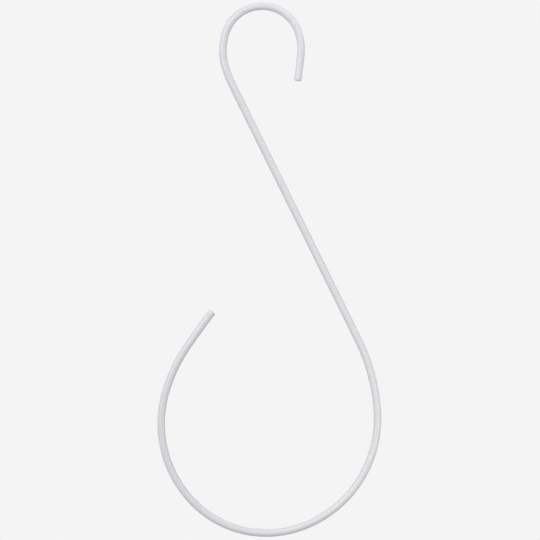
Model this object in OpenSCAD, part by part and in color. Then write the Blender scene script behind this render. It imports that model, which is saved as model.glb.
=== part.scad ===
// S hook bent from one length of coated steel wire.
// The small crook at the top goes over a rail, and the wide loop below carries the load.
// Both crooks curl the same way round, and the straight shank between them leans,
// so that the load hangs under the rail.
//
// +Z is up, and the wire's middle line lies in the XZ plane. The origin is the rail seat,
// the inside of the crook's crown. Bend radii are those of the forming pegs, inside the wire,
// and the bends of a crook are named from the shank outward.

/* [Wire] */
// Diameter of the wire over its coating
wire_d = 3; // [2:0.1:5]
// Rounding of the rim at each cut end
rim_r = 0.6; // [0.3:0.05:0.9]
// Radius of the slight bow that both tails keep
tail_bow_r = 300; // [200:10:600]

/* [Shank] */
// Length of the straight shank between the two crooks
shank_l = 109.5; // [90:0.5:180]
// Angle that the shank leans from upright
shank_lean = 26.3; // [15:0.1:40]

/* [Rail crook] */
// Radius of the gentle bend that leads off the shank
rail_lead_r = 73.5; // [50:0.5:120]
// Angle of the lead-off bend
rail_lead_angle = 5.5; // [2:0.5:12]
// Radius of the shoulder under the crown
rail_shoulder_r = 22; // [16:0.5:30]
// Angle of the shoulder
rail_shoulder_angle = 37.5; // [25:0.5:45]
// Radius of the crown, which sits over the rail
rail_crown_r = 13.5; // [10:0.5:20]
// Angle of the crown
rail_crown_angle = 146.5; // [130:0.5:155]
// Radius of the bend past the crown, which brings the tail in
rail_lip_r = 20.5; // [14:0.5:30]
// Angle of the bend past the crown
rail_lip_angle = 23; // [10:0.5:30]
// Length of the tail
rail_tail_l = 10; // [4:0.5:16]

/* [Load loop] */
// Radius of the open bend that leads off the shank
load_lead_r = 73.5; // [55:0.5:100]
// Angle of the lead-off bend
load_lead_angle = 22.5; // [15:0.5:30]
// Radius of the loop's near side
load_side_r = 43.5; // [36:0.5:52]
// Angle of the near side
load_side_angle = 78; // [70:0.5:86]
// Radius of the loop's bottom, where the load hangs
load_seat_r = 38.5; // [32:0.5:46]
// Angle of the bottom
load_seat_angle = 60; // [50:0.5:68]
// Radius of the loop's far side
load_return_r = 42.5; // [36:0.5:50]
// Angle of the far side
load_return_angle = 60; // [50:0.5:70]
// Radius of the opening bend before the tail
load_mouth_r = 58.5; // [45:0.5:80]
// Angle of the opening bend
load_mouth_angle = 20; // [10:0.5:30]
// Length of the tail
load_tail_l = 17.5; // [8:0.5:24]

/* [Hidden] */
$fn = 96;
wire_r = wire_d / 2;

// How far the centre of the rim's rounding lies in from the side and from the face of an end.
// It is a little under rim_r, so the rounding leaves both with a faint edge.
rim_set = 0.9 * rim_r;
// How far the rim cutter reaches past the wire
rim_clear = 0.5;
// Ball inside each joint of two bends, which ties them into one solid
tie_d = 0.8 * wire_d;

// A bend is [radius of the wire's middle line, angle].
function bend_of(inside_r, angle) = [inside_r + wire_r, angle];

// A tail is a bend too, and its angle gives it its length.
function tail_of(length) =
    let (r = tail_bow_r + wire_r)
    [r, thousandth(length / r * 180 / PI)];

function thousandth(x) = round(x * 1000) / 1000;

rail_bends = [
    bend_of(rail_lead_r, rail_lead_angle),
    bend_of(rail_shoulder_r, rail_shoulder_angle),
    bend_of(rail_crown_r, rail_crown_angle),
    bend_of(rail_lip_r, rail_lip_angle),
    tail_of(rail_tail_l),
];

load_bends = [
    bend_of(load_lead_r, load_lead_angle),
    bend_of(load_side_r, load_side_angle),
    bend_of(load_seat_r, load_seat_angle),
    bend_of(load_return_r, load_return_angle),
    bend_of(load_mouth_r, load_mouth_angle),
    tail_of(load_tail_l),
];

// A crook is drawn flat: the shank comes up the Y axis to the origin, and each bend turns
// the wire clockwise. For bend n these give the angle turned before it, the way from its
// centre to its start, its centre and its start. Its start is also the end of the bend
// before it, so both centres lie on one line through it and the wire stays smooth there.
function turned(bends, n) = n == 0 ? 0 : turned(bends, n - 1) + bends[n - 1][1];
function start_angle(bends, n) = 180 - turned(bends, n);
function toward(angle) = [cos(angle), sin(angle)];
function centre(bends, n) =
    n == 0 ? [bends[0][0], 0]
    : centre(bends, n - 1) + (bends[n - 1][0] - bends[n][0]) * toward(start_angle(bends, n));
function start(bends, n) = centre(bends, n) + bends[n][0] * toward(start_angle(bends, n));

// The rail seat is the inside of the bend that is uppermost once the shank leans.
up_angle = 90 - shank_lean;
crown = [for (n = [0 : len(rail_bends) - 1]) if (start_angle(rail_bends, n + 1) < up_angle) n][0];
rail_seat = centre(rail_bends, crown) + (rail_bends[crown][0] - wire_r) * toward(up_angle);

// Moves in a coarse step and a fine one, so that even a long way is kept to the last digit
// and neighbouring bends meet without a step.
module at(place) {
    coarse = [for (x = place) thousandth(x)];
    translate(coarse) translate(place - coarse) children();
}

module bend(bends, n)
    at(centre(bends, n))
        rotate_extrude(start = start_angle(bends, n + 1), angle = bends[n][1])
            translate([bends[n][0], 0]) circle(d = wire_d);

// Takes the sharp rim off a wire that ends at the origin, coming from -Z
module rim_cutter()
    rotate_extrude() difference() {
        translate([wire_r - rim_set, -rim_set]) square(rim_set + rim_clear);
        translate([wire_r - rim_set, -rim_set]) circle(rim_r);
    }

module crook(bends) {
    tail = len(bends) - 1;
    tail_end = start_angle(bends, tail + 1);
    difference() {
        union() for (n = [0 : tail]) {
            bend(bends, n);
            at(start(bends, n)) sphere(d = tie_d);
        }
        at(centre(bends, tail) + bends[tail][0] * toward(tail_end))
            rotate([90, 0, tail_end]) rim_cutter();
    }
}

module shank()
    rotate([90, 0, 0]) cylinder(d = wire_d, h = shank_l);

module hook()
    color("gainsboro")
        rotate([90, 0, 0]) rotate([0, 0, shank_lean]) translate(-rail_seat) {
            shank();
            crook(rail_bends);
            translate([0, -shank_l]) rotate([0, 0, 180]) crook(load_bends);
        }

hook();
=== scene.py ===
from collections import namedtuple
from math import ceil, cos, pi, radians, sin

import bpy
from bpy.props import FloatProperty, FloatVectorProperty, IntProperty, PointerProperty
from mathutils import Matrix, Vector


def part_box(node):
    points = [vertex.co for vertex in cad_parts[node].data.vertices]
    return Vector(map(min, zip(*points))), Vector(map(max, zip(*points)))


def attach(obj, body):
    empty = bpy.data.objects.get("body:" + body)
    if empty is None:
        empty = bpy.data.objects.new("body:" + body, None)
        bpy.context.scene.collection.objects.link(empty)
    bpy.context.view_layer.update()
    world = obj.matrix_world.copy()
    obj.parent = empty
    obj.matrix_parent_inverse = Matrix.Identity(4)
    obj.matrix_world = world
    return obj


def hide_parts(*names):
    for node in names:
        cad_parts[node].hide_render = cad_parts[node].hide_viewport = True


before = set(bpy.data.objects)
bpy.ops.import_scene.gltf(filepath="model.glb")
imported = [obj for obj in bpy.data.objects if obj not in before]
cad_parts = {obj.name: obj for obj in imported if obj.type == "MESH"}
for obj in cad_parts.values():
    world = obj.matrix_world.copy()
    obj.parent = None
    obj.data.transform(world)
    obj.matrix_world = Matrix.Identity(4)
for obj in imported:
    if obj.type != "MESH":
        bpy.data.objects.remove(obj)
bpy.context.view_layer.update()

bl_info = {
    "name": "Bent wire hook",
    "version": (1, 0, 0),
    "blender": (4, 5, 0),
    "location": "View3D > Sidebar > Wire Hook",
    "description": "Sweeps a hook of powder-coated wire and sets it in a pale studio",
    "category": "Object",
}

# The solid that the wire replaces, and the body that it rides on.
NODE = "hook"
BODY = "root"

# The lamps' names, with which the names of their looks start.
LAMPS = ("key", "high", "low", "back")

# In metres: how far a corner of the wire's box may lie from the faceted solid's, and how wide
# the camera's sensor is.
BOX_TOLERANCE = 0.0001
SENSOR_WIDTH = 0.036
MM_IN_METRE = 1000

# A bend of the wire: the radius of its middle line, and the angle that it turns.
Bend = namedtuple("Bend", ("radius", "angle"))

# Where a Mix node has its two colours and the colour it gives, as its sockets share their names.
FIRST_COLOUR = 6
SECOND_COLOUR = 7
MIXED_COLOUR = 2

# The map laid out for baking the coat: its name, how many rows share the wire, and the
# bare edge round each row, as a share of the map. One more row's height is for the cut ends.
BAKE_MAP = "OFBake"
BAKE_ROWS = 6
BAKE_EDGE = 0.004
BAKE_CELL = 1 / (BAKE_ROWS + 1)


# ---------------------------------------------------------------- sizes and looks


def length(name, description, millimetres):
    """A length, written in millimetres."""
    return FloatProperty(
        name=name,
        description=description,
        default=millimetres / MM_IN_METRE,
        min=0,
        unit="LENGTH",
        precision=4,
    )


def turn(name, description, degrees):
    """An angle, written in degrees."""
    return FloatProperty(
        name=name,
        description=description,
        default=radians(degrees),
        subtype="ANGLE",
    )


def colour(name, description, red, green, blue):
    """A colour, as linear light."""
    return FloatVectorProperty(
        name=name,
        description=description,
        subtype="COLOR",
        size=3,
        default=(red, green, blue),
        min=0,
        max=1,
    )


def power(name, description, watts):
    """A lamp's power."""
    return FloatProperty(name=name, description=description, default=watts, min=0, unit="POWER")


def share(name, description, part):
    """A part of a whole, from 0 to 1."""
    return FloatProperty(
        name=name,
        description=description,
        subtype="FACTOR",
        default=part,
        min=0,
        max=1,
    )


def count(name, description, number, least):
    """How many of something there are."""
    return IntProperty(name=name, description=description, default=number, min=least)


class WireSizes(bpy.types.PropertyGroup):
    """What a wire bender would set. Each radius is that of the forming peg, inside the wire."""

    wire_d: length("Wire diameter", "Diameter over the coating", 3)
    rim_r: length("Rim rounding", "Rounding of the rim at each cut end", 0.6)
    tail_bow_r: length("Tail bow", "Radius of the slight bow that both tails keep", 300)

    shank_l: length("Shank length", "Straight length between the crooks", 109.5)
    shank_lean: turn("Shank lean", "Angle of the shank from upright", 26.3)

    rail_lead_r: length("Rail lead radius", "Gentle bend off the shank", 73.5)
    rail_lead_angle: turn("Rail lead angle", "Angle of the lead-off bend", 5.5)
    rail_shoulder_r: length("Shoulder radius", "Bend under the crown", 22)
    rail_shoulder_angle: turn("Shoulder angle", "Angle of the shoulder", 37.5)
    rail_crown_r: length("Crown radius", "Bend that sits over the rail", 13.5)
    rail_crown_angle: turn("Crown angle", "Angle of the crown", 146.5)
    rail_lip_r: length("Lip radius", "Bend past the crown", 20.5)
    rail_lip_angle: turn("Lip angle", "Angle of the bend past the crown", 23)
    rail_tail_l: length("Rail tail", "Length of the crook's tail", 10)

    load_lead_r: length("Load lead radius", "Open bend off the shank", 73.5)
    load_lead_angle: turn("Load lead angle", "Angle of the lead-off bend", 22.5)
    load_side_r: length("Side radius", "Near side of the loop", 43.5)
    load_side_angle: turn("Side angle", "Angle of the near side", 78)
    load_seat_r: length("Seat radius", "Bottom of the loop, under the load", 38.5)
    load_seat_angle: turn("Seat angle", "Angle of the bottom", 60)
    load_return_r: length("Return radius", "Far side of the loop", 42.5)
    load_return_angle: turn("Return angle", "Angle of the far side", 60)
    load_mouth_r: length("Mouth radius", "Opening bend before the tail", 58.5)
    load_mouth_angle: turn("Mouth angle", "Angle of the opening bend", 20)
    load_tail_l: length("Load tail", "Length of the loop's tail", 17.5)

    rings: count("Rings", "Rings of points along the whole wire", 1100, 100)
    rim_rings: count("Rim rings", "Rings that round each rim", 10, 2)
    sides: count("Sides", "Points round the wire", 48, 8)


class CoatLooks(bpy.types.PropertyGroup):
    """The powder coat's colour and surface."""

    paint: colour("Paint", "Colour of the coat", 0.753, 0.751, 0.784)
    roughness: share("Roughness", "How satin the coat is", 0.32)
    cloud_size: length("Cloud size", "Length over which the coat's tone drifts", 14)
    tone_drift: share("Tone drift", "Most that the tone darkens on its way", 0.035)
    gloss_drift: share("Gloss drift", "Most that cloud and ripple each change the roughness", 0.06)
    ripple_size: length("Ripple size", "Width of a ripple of the coat's orange peel", 1.2)
    ripple_height: length("Ripple height", "Height that the rare highest ripple reaches", 0.06)
    grain_size: length("Grain size", "Width of a grain of powder in the skin", 0.22)
    grain_height: length("Grain height", "Height that the rare highest grain reaches", 0.015)


class StudioLooks(bpy.types.PropertyGroup):
    """The floor, the even light and the camera."""

    backdrop: colour("Backdrop", "Colour that floor and backdrop show", 0.905, 0.905, 0.905)
    floor_reach: length("Floor reach", "Distance from the middle to each side of the floor", 6000)
    floor_drop: length("Floor drop", "Gap between the hook's lowest point and the floor", 32)
    floor_bounce: share("Floor bounce", "Share of the light that the floor sends back", 0.4)
    shadow_depth: share("Shadow depth", "Share of a shadow that the floor shows", 0.3)
    shadow_near: length("Shadow near", "Distance from the floor's middle where it starts to fade", 50)
    shadow_far: length("Shadow far", "Distance from the floor's middle where it is gone", 200)
    ambient: FloatProperty(
        name="Ambient",
        description="Strength of the even light from all round",
        default=0.43,
        min=0,
    )
    lens: length("Lens", "Focal length of the camera", 150)
    view_width: length("View width", "Width that the picture spans at the hook", 211.76)
    view_right: length("View right", "How far the picture's middle lies right of the rail seat", 3.08)
    view_down: length("View down", "How far the picture's middle lies under the rail seat", 101.98)


class LampLooks(bpy.types.PropertyGroup):
    """Soft round lamps, each turned from the camera's direction to its right and raised."""

    key_power: power("Key power", "Power of the main lamp", 10.65)
    key_colour: colour("Key colour", "Colour of the main lamp", 0.977, 0.958, 1)
    key_size: length("Key size", "Diameter of the main lamp", 1270)
    key_reach: length("Key reach", "Distance of the main lamp from the hook's middle", 1300)
    key_side: turn("Key side", "Turn of the main lamp", -38)
    key_height: turn("Key height", "Rise of the main lamp", 22)

    high_power: power("High power", "Power of the near lamp on the upper right", 0.164)
    high_colour: colour("High colour", "Colour of the upper near lamp", 1, 0.971, 0.98)
    high_size: length("High size", "Diameter of the upper near lamp", 235)
    high_reach: length("High reach", "Distance of the upper near lamp from the hook's middle", 250)
    high_side: turn("High side", "Turn of the upper near lamp", 63)
    high_height: turn("High height", "Rise of the upper near lamp", 52)

    low_power: power("Low power", "Power of the near lamp on the lower right", 0.151)
    low_colour: colour("Low colour", "Colour of the lower near lamp", 0.98, 1, 0.915)
    low_size: length("Low size", "Diameter of the lower near lamp", 150)
    low_reach: length("Low reach", "Distance of the lower near lamp from the hook's middle", 250)
    low_side: turn("Low side", "Turn of the lower near lamp", 52.5)
    low_height: turn("Low height", "Rise of the lower near lamp", -20)

    back_power: power("Back power", "Power of the lamp behind the hook", 10)
    back_colour: colour("Back colour", "Colour of the back lamp", 1, 1, 1)
    back_size: length("Back size", "Diameter of the back lamp", 800)
    back_reach: length("Back reach", "Distance of the back lamp from the hook's middle", 1300)
    back_side: turn("Back side", "Turn of the back lamp", 180)
    back_height: turn("Back height", "Rise of the back lamp", 15)


# ---------------------------------------------------------------- nodes and objects


class Flow:
    """A node's output that can be written into ordinary arithmetic."""

    def __init__(self, nodes, socket):
        self.nodes = nodes
        self.socket = socket

    def output(self, name):
        """Another output of the same node."""
        return Flow(self.nodes, self.socket.node.outputs[name])

    def __add__(self, other):
        return self.nodes.maths("ADD", self, other)

    def __radd__(self, other):
        return self.nodes.maths("ADD", other, self)

    def __sub__(self, other):
        return self.nodes.maths("SUBTRACT", self, other)

    def __rsub__(self, other):
        return self.nodes.maths("SUBTRACT", other, self)

    def __mul__(self, other):
        if self.is_vector():
            return self.nodes.scaled(self, other)
        return self.nodes.maths("MULTIPLY", self, other)

    def __rmul__(self, other):
        return self * other

    def __truediv__(self, other):
        return self.nodes.maths("DIVIDE", self, other)

    def __rtruediv__(self, other):
        return self.nodes.maths("DIVIDE", other, self)

    def __gt__(self, other):
        return self.nodes.maths("GREATER_THAN", self, other)

    def is_vector(self):
        return self.socket.type == "VECTOR"


class Nodes:
    """Fills a node tree."""

    def __init__(self, tree):
        self.tree = tree

    def add(self, kind, settings=None, sockets=None, output=0):
        """Adds a node, first its settings and then its sockets' values or links.

        What comes back is one of its outputs.
        """
        node = self.tree.nodes.new(kind)
        for name, value in (settings or {}).items():
            setattr(node, name, value)
        for key, value in (sockets or {}).items():
            if isinstance(value, Flow):
                self.tree.links.new(value.socket, node.inputs[key])
            else:
                node.inputs[key].default_value = value
        return Flow(self, node.outputs[output]) if len(node.outputs) else None

    def maths(self, operation, *values):
        """A Math node, or a Vector Math node where a value is a vector."""
        vectors = any(isinstance(value, Flow) and value.is_vector() for value in values)
        kind = "ShaderNodeVectorMath" if vectors else "ShaderNodeMath"
        return self.add(kind, {"operation": operation}, dict(enumerate(values)))

    def scaled(self, vector, factor):
        sockets = {"Vector": vector, "Scale": factor}
        return self.add("ShaderNodeVectorMath", {"operation": "SCALE"}, sockets)

    def clamped(self, value, low, high):
        return self.maths("MINIMUM", self.maths("MAXIMUM", value, low), high)

    def mixed(self, factor, first, second):
        """The first colour where the factor is 0, and the second where it is 1."""
        sockets = {"Factor": factor, FIRST_COLOUR: first, SECOND_COLOUR: second}
        return self.add("ShaderNodeMix", {"data_type": "RGBA"}, sockets, MIXED_COLOUR)

    def blended(self, factor, first, second):
        """The first shader where the factor is 0, and the second where it is 1."""
        # Both shader sockets have one name, so they go by number.
        return self.add("ShaderNodeMixShader", sockets={"Fac": factor, 1: first, 2: second})


class GeometryGroup(Nodes):
    """A Geometry Nodes group with named inputs and outputs."""

    def __init__(self, name):
        super().__init__(bpy.data.node_groups.new(name, "GeometryNodeTree"))
        self.start = self.tree.nodes.new("NodeGroupInput")
        self.end = self.tree.nodes.new("NodeGroupOutput")

    def takes(self, name, kind="NodeSocketFloat"):
        """A new input of the group."""
        self.tree.interface.new_socket(name, in_out="INPUT", socket_type=kind)
        return Flow(self, self.start.outputs[name])

    def gives(self, name, flow, kind="NodeSocketFloat"):
        """Sends a flow out by a new output."""
        self.tree.interface.new_socket(name, in_out="OUTPUT", socket_type=kind)
        self.tree.links.new(flow.socket, self.end.inputs[name])

    def toward(self, angle):
        """The unit step in the hook's plane at an angle from +X towards +Z."""
        sockets = {"X": self.maths("COSINE", angle), "Z": self.maths("SINE", angle)}
        return self.add("ShaderNodeCombineXYZ", sockets=sockets)

    def identifiers(self):
        """Each input's identifier, by its name."""
        return {
            item.name: item.identifier
            for item in self.tree.interface.items_tree
            if item.in_out == "INPUT"
        }


def cleared_nodes(owner):
    """The node tree of a material or a world, emptied to be filled anew."""
    owner.use_nodes = True
    owner.node_tree.nodes.clear()
    return Nodes(owner.node_tree)


def opaque(tint):
    """A colour as a socket takes it, with its alpha."""
    return (*tint, 1)


def add_object(name, data):
    """A new object in the scene."""
    thing = bpy.data.objects.new(name, data)
    bpy.context.collection.objects.link(thing)
    return thing


# ---------------------------------------------------------------- the wire's shape


def bend_group():
    """One clockwise bend: what it adds to the place of a point that lies Past its start.

    Start angle points from the bend's centre to its start. Past and Start angle come out
    again as the next bend needs them.
    """
    group = GeometryGroup("Bend")
    past = group.takes("Past")
    start_angle = group.takes("Start angle")
    radius = group.takes("Radius")
    angle = group.takes("Angle")
    turned = group.clamped(past / radius, 0, angle)
    step = group.toward(start_angle - turned) - group.toward(start_angle)
    group.gives("Step", step * radius, "NodeSocketVector")
    group.gives("Past", past - radius * angle)
    group.gives("Start angle", start_angle - angle)
    return group


def crook_bends(size, crook_name, *names):
    """A crook's bends from the shank outward, and then its tail, which is a bend too."""
    bends = [
        Bend(size[f"{crook_name}_{name}_r"] + size["wire_r"], size[f"{crook_name}_{name}_angle"])
        for name in names
    ]
    bow_r = size["tail_bow_r"] + size["wire_r"]
    return bends + [Bend(bow_r, size[f"{crook_name}_tail_l"] / bow_r)]


def crook(group, bend_tree, past, start_angle, bends):
    """How far the bends of a crook carry a point that lies past the shank's end."""
    place = group.add("ShaderNodeCombineXYZ")
    for bend in bends:
        sockets = {
            "Past": past,
            "Start angle": start_angle,
            "Radius": bend.radius,
            "Angle": bend.angle,
        }
        made = group.add("GeometryNodeGroup", {"node_tree": bend_tree}, sockets, "Step")
        place = place + made
        past = made.output("Past")
        start_angle = made.output("Start angle")
    return place


def run_length(bends):
    """How long the middle line of some bends is."""
    total = 0
    for bend in bends:
        total = total + bend.radius * bend.angle
    return total


def crown_top(group, bend_tree, lean, rail_bends):
    """Where the rail crook's middle line is highest, measured from the shank's top."""
    lead, shoulder, crown = rail_bends[:3]
    turned_in_crown = lean + pi / 2 - (lead.angle + shoulder.angle)
    to_top = run_length([lead, shoulder]) + crown.radius * turned_in_crown
    return crook(group, bend_tree, to_top, lean + pi, rail_bends)


def spread_rings(group, size, whole_length):
    """How far along the wire each ring lies, and the share of its radius that the rim takes off.

    The first and last few rings round the rims, and the rest share the wire evenly.
    """
    ring = group.add("GeometryNodeInputIndex")
    last_ring = size["rings"] - 1
    rings_in = group.maths("MINIMUM", ring, last_ring - ring)
    round_rim = group.clamped(rings_in / size["rim_rings"], 0, 1) * (pi / 2)
    rim_depth = (1 - group.maths("COSINE", round_rim)) * size["rim_r"]
    ring_gap = (whole_length / 2 - size["rim_r"]) / (last_ring / 2 - size["rim_rings"])
    depth = rim_depth + group.maths("MAXIMUM", rings_in - size["rim_rings"], 0) * ring_gap
    along = depth + (whole_length - depth * 2) * (ring > last_ring / 2)
    narrowing = (1 - group.maths("SINE", round_rim)) * (size["rim_r"] / size["wire_r"])
    return along, narrowing


def swept_skin(group, size, place, narrowing, finish):
    """The wire's closed skin, swept along the places of its rings."""
    line = group.add("GeometryNodeMeshLine", sockets={"Count": size["rings"]})
    line = group.add("GeometryNodeSetPosition", sockets={"Geometry": line, "Position": place})
    path = group.add("GeometryNodeMeshToCurve", sockets={"Mesh": line})
    circle = {"Resolution": size["sides"], "Radius": size["wire_r"]}
    section = group.add("GeometryNodeCurvePrimitiveCircle", sockets=circle)
    swept = {"Curve": path, "Profile Curve": section, "Scale": 1 - narrowing, "Fill Caps": True}
    wire = group.add("GeometryNodeCurveToMesh", sockets=swept)
    wire = group.add("GeometryNodeSetShadeSmooth", sockets={"Geometry": wire})
    wire = group.add("GeometryNodeRealizeInstances", sockets={"Geometry": wire})
    return group.add("GeometryNodeSetMaterial", sockets={"Geometry": wire, "Material": finish})


def wire_group(sizes):
    """The whole wire, from the tip of the rail crook to the tip of the load loop."""
    group = GeometryGroup("Bent wire")
    size = {}
    for name in sizes.__annotations__:
        is_count = isinstance(getattr(sizes, name), int)
        size[name] = group.takes(name, "NodeSocketInt" if is_count else "NodeSocketFloat")
    size["wire_r"] = size["wire_d"] / 2
    finish = group.takes("Finish", "NodeSocketMaterial")

    rail_bends = crook_bends(size, "rail", "lead", "shoulder", "crown", "lip")
    load_bends = crook_bends(size, "load", "lead", "side", "seat", "return", "mouth")
    rail_length = run_length(rail_bends)
    whole_length = rail_length + size["shank_l"] + run_length(load_bends)
    along, narrowing = spread_rings(group, size, whole_length)

    # The shank's top is the start of the rail crook, and its foot that of the load loop.
    bend_tree = bend_group().tree
    lean = size["shank_lean"]
    past_shank_top = along - rail_length
    down_shank = group.clamped(past_shank_top, 0, size["shank_l"])
    place = crook(group, bend_tree, past_shank_top * -1, lean + pi, rail_bends)
    place = place - group.toward(lean + pi / 2) * down_shank
    past_shank_foot = past_shank_top - size["shank_l"]
    place = place + crook(group, bend_tree, past_shank_foot, lean, load_bends)

    # The origin is the inside of the crown at its highest point.
    up = group.add("ShaderNodeCombineXYZ", sockets={"Z": size["wire_r"]})
    place = place - crown_top(group, bend_tree, lean, rail_bends) + up

    skin = swept_skin(group, size, place, narrowing, finish)
    group.gives("Wire", skin, "NodeSocketGeometry")
    return group


# ---------------------------------------------------------------- its coat and its map


def powder_coat(looks):
    """White powder coat: satin, with a slight orange peel and a tone that drifts along the wire."""
    material = bpy.data.materials.new("powder_coat")
    nodes = cleared_nodes(material)
    place = nodes.add("ShaderNodeTexCoord", output="Object")

    def noise(size, detail):
        sockets = {"Vector": place, "Scale": 1 / size, "Detail": detail}
        return nodes.add("ShaderNodeTexNoise", sockets=sockets)

    cloud = noise(looks.cloud_size, detail=2)
    ripple = noise(looks.ripple_size, detail=1)
    grain = noise(looks.grain_size, detail=1)

    dull = opaque(looks.paint * (1 - looks.tone_drift))
    tone = nodes.mixed(cloud, dull, opaque(looks.paint))
    rough = looks.roughness + (cloud + ripple - 1) * looks.gloss_drift
    height = ripple * looks.ripple_height + grain * looks.grain_height
    # The height is in metres already, so the bump takes it as it is.
    skin = nodes.add("ShaderNodeBump", sockets={"Distance": 1, "Height": height})
    sockets = {"Base Color": tone, "Roughness": rough, "Normal": skin}
    coat = nodes.add("ShaderNodeBsdfPrincipled", sockets=sockets)
    nodes.add("ShaderNodeOutputMaterial", sockets={"Surface": coat})
    return material


def between(low, high, part):
    """The place on the map that lies part of the way from low to high, clear of both."""
    return low + BAKE_EDGE + part * (high - low - 2 * BAKE_EDGE)


def end_place(is_load_end, around):
    """Where a point round a cut end lies on the map: above the rows, with the two ends abreast.

    The ends face opposite ways, so they are laid out as mirror images.
    """
    left = BAKE_CELL if is_load_end else 0
    facing = 1 if is_load_end else -1
    angle = 2 * pi * around
    across = (1 + facing * cos(angle)) / 2
    up = (1 + sin(angle)) / 2
    return between(left, left + BAKE_CELL, across), between(1 - BAKE_CELL, 1, up)


def row_place(row, along, around):
    """Where a point of the wire lies on the map: along its row, and down it round the wire."""
    foot = row * BAKE_CELL
    return between(0, 1, along), between(foot, foot + BAKE_CELL, 1 - around)


def map_skin(mesh, rings, sides):
    """Lays the skin out flat in rows. The points come ring by ring from the rail crook's tip."""
    faces_in_row = ceil((rings - 1) / BAKE_ROWS)
    places = mesh.uv_layers.new(name=BAKE_MAP).data
    for face in mesh.polygons:
        points = [divmod(vertex, sides) for vertex in face.vertices]
        is_end = len(points) == sides
        first_ring = min(ring for ring, side in points)
        row = first_ring // faces_in_row
        # The face that closes a ring comes back to side 0, which is a whole turn on for it.
        closes_ring = {0, sides - 1} <= {side for ring, side in points}
        for corner, (ring, side) in zip(face.loop_indices, points):
            if is_end:
                places[corner].uv = end_place(ring > 0, side / sides)
            else:
                along = (ring - row * faces_in_row) / faces_in_row
                around = 1 if closes_ring and side == 0 else side / sides
                places[corner].uv = row_place(row, along, around)


# ---------------------------------------------------------------- the wire itself


def check_box(wire):
    """Stops the script where the wire doesn't fill the box of the solid that it replaces."""
    places = [vertex.co for vertex in wire.data.vertices]
    for corner, pick in zip(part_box(NODE), (min, max)):
        reached = Vector(pick(place[axis] for place in places) for axis in range(3))
        if (reached - corner).length > BOX_TOLERANCE:
            raise RuntimeError("the swept wire doesn't fill the solid's box")


class HOOK_OT_bend_wire(bpy.types.Operator):
    """Sweeps the coated wire along its bends and lets it stand for the plain solid"""

    bl_idname = "wire_hook.bend_wire"
    bl_label = "Bend the wire"

    def execute(self, context):
        sizes = context.scene.wire_sizes
        group = wire_group(sizes)
        wire = add_object("coated_wire", bpy.data.meshes.new("coated_wire"))
        sweep = wire.modifiers.new("Sweep", "NODES")
        sweep.node_group = group.tree
        identifiers = group.identifiers()
        for name in sizes.__annotations__:
            sweep[identifiers[name]] = getattr(sizes, name)
        sweep[identifiers["Finish"]] = powder_coat(context.scene.coat_looks)
        swept = wire.evaluated_get(context.evaluated_depsgraph_get())
        wire.data = bpy.data.meshes.new_from_object(swept)
        wire.modifiers.remove(sweep)
        map_skin(wire.data, sizes.rings, sizes.sides)
        check_box(wire)

        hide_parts(NODE)
        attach(wire, BODY)
        return {"FINISHED"}


# ---------------------------------------------------------------- the studio


def seen(nodes):
    """1 where the camera looks, straight or by way of gloss or glass."""
    straight = nodes.add("ShaderNodeLightPath", output="Is Camera Ray")
    gloss = straight.output("Is Glossy Ray")
    glass = straight.output("Is Transmission Ray")
    return nodes.maths("MAXIMUM", nodes.maths("MAXIMUM", straight, gloss), glass)


def room(looks):
    """Even light, behind which the camera sees the backdrop's colour."""
    world = bpy.data.worlds.new("room")
    nodes = cleared_nodes(world)
    backdrop = nodes.add("ShaderNodeBackground", sockets={"Color": opaque(looks.backdrop)})
    white = opaque((1, 1, 1))
    even = nodes.add("ShaderNodeBackground", sockets={"Color": white, "Strength": looks.ambient})
    shown = nodes.blended(seen(nodes), even, backdrop)
    nodes.add("ShaderNodeOutputWorld", sockets={"Surface": shown})
    return world


def floor_paint(looks):
    """Pale paint that shows the backdrop's colour, and under the hook its shadow too.

    What the camera sees glows in the backdrop's colour, and under the hook part of it is matt,
    so that the shadow shows. The hook gets the light of a duller floor.
    """
    material = bpy.data.materials.new("floor_paint")
    nodes = cleared_nodes(material)
    place = nodes.add("ShaderNodeTexCoord", output="Object")
    away = nodes.add("ShaderNodeVectorMath", {"operation": "LENGTH"}, {0: place}, "Value")
    fade = nodes.add(
        "ShaderNodeMapRange",
        {"interpolation_type": "SMOOTHSTEP"},
        {
            "Value": away,
            "From Min": looks.shadow_near,
            "From Max": looks.shadow_far,
            "To Min": 1 - looks.shadow_depth,
        },
    )
    backdrop = opaque(looks.backdrop)
    bounce = opaque([looks.floor_bounce] * 3)
    matt = nodes.add("ShaderNodeBsdfDiffuse", sockets={"Color": backdrop})
    dull = nodes.add("ShaderNodeBsdfDiffuse", sockets={"Color": bounce})
    glow = nodes.add("ShaderNodeEmission", sockets={"Color": backdrop})
    paint = nodes.blended(seen(nodes), dull, nodes.blended(fade, matt, glow))
    nodes.add("ShaderNodeOutputMaterial", sockets={"Surface": paint})
    return material


def lay_floor(looks):
    """A wide pale floor some way under the hook, which melts into the backdrop."""
    reach = looks.floor_reach
    corners = [(-reach, -reach, 0), (reach, -reach, 0), (reach, reach, 0), (-reach, reach, 0)]
    mesh = bpy.data.meshes.new("floor")
    mesh.from_pydata(corners, [], [(0, 1, 2, 3)])
    mesh.materials.append(floor_paint(looks))
    floor = add_object("floor", mesh)
    low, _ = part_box(NODE)
    floor.location.z = low.z - looks.floor_drop


def aimed_camera(looks, aim):
    """A level camera straight in front of its aim, as far off as the picture's width asks."""
    data = bpy.data.cameras.new("camera")
    data.sensor_width = SENSOR_WIDTH * MM_IN_METRE
    data.lens = looks.lens * MM_IN_METRE
    camera = add_object("camera", data)
    distance = looks.view_width * looks.lens / SENSOR_WIDTH
    camera.location = aim - Vector((0, distance, 0))
    camera.rotation_euler = (pi / 2, 0, 0)
    return camera


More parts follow.
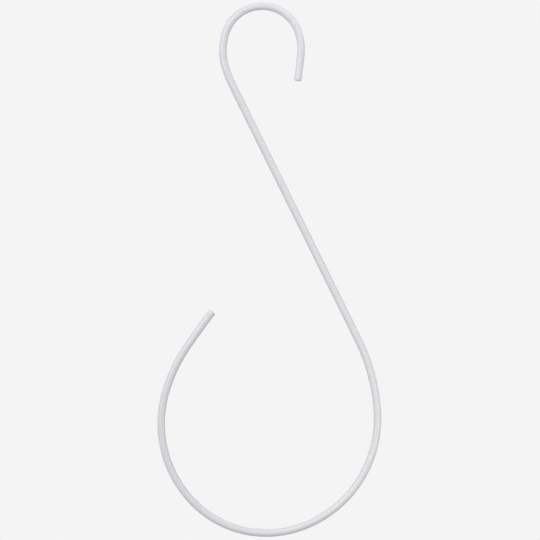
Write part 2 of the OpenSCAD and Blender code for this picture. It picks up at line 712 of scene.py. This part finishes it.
def hang_lamp(name, looks, aim):
    """One of the lamps, turned to face the hook's middle."""
    parts = ("power", "colour", "size", "reach", "side", "height")
    watts, tint, size, reach, side, height = (getattr(looks, f"{name}_{part}") for part in parts)
    data = bpy.data.lights.new(name, "AREA")
    data.shape = "DISK"
    data.energy = watts
    data.color = tint
    data.size = size
    lamp = add_object(name, data)
    away = Vector((sin(side) * cos(height), -cos(side) * cos(height), sin(height)))
    lamp.location = aim + reach * away
    lamp.rotation_euler = away.to_track_quat("Z", "Y").to_euler()
    lamp.visible_camera = False
    return lamp


class HOOK_OT_set_studio(bpy.types.Operator):
    """Lays the floor, hangs the lamps and points the camera"""

    bl_idname = "wire_hook.set_studio"
    bl_label = "Set the studio"

    def execute(self, context):
        scene = context.scene
        looks = scene.studio_looks
        aim = Vector((looks.view_right, 0, -looks.view_down))
        lay_floor(looks)
        scene.world = room(looks)
        scene.camera = aimed_camera(looks, aim)
        lamps = {name: hang_lamp(name, scene.lamp_looks, aim) for name in LAMPS}
        # Seen in the coat's gloss, this lamp would draw a white line along the wire's edge.
        lamps["back"].visible_glossy = False
        scene.view_settings.view_transform = "Standard"
        return {"FINISHED"}


# ---------------------------------------------------------------- the add-on


class HOOK_PT_panel(bpy.types.Panel):
    """Sizes, looks and the steps that make the hook"""

    bl_idname = "HOOK_PT_panel"
    bl_label = "Wire Hook"
    bl_space_type = "VIEW_3D"
    bl_region_type = "UI"
    bl_category = "Wire Hook"

    def draw(self, context):
        groups = {
            "Wire": context.scene.wire_sizes,
            "Coat": context.scene.coat_looks,
            "Studio": context.scene.studio_looks,
            "Lamps": context.scene.lamp_looks,
        }
        for title, group in groups.items():
            column = self.layout.column()
            column.label(text=title)
            for name in group.__annotations__:
                column.prop(group, name)
        self.layout.operator(HOOK_OT_bend_wire.bl_idname)
        self.layout.operator(HOOK_OT_set_studio.bl_idname)


CLASSES = (
    WireSizes,
    CoatLooks,
    StudioLooks,
    LampLooks,
    HOOK_OT_bend_wire,
    HOOK_OT_set_studio,
    HOOK_PT_panel,
)


def register():
    for cls in CLASSES:
        bpy.utils.register_class(cls)
    bpy.types.Scene.wire_sizes = PointerProperty(type=WireSizes)
    bpy.types.Scene.coat_looks = PointerProperty(type=CoatLooks)
    bpy.types.Scene.studio_looks = PointerProperty(type=StudioLooks)
    bpy.types.Scene.lamp_looks = PointerProperty(type=LampLooks)


def unregister():
    del bpy.types.Scene.lamp_looks
    del bpy.types.Scene.studio_looks
    del bpy.types.Scene.coat_looks
    del bpy.types.Scene.wire_sizes
    for cls in reversed(CLASSES):
        bpy.utils.unregister_class(cls)


def main():
    """Makes the hook and its studio."""
    register()
    bpy.ops.wire_hook.bend_wire()
    bpy.ops.wire_hook.set_studio()


if __name__ == "__main__":
    main()
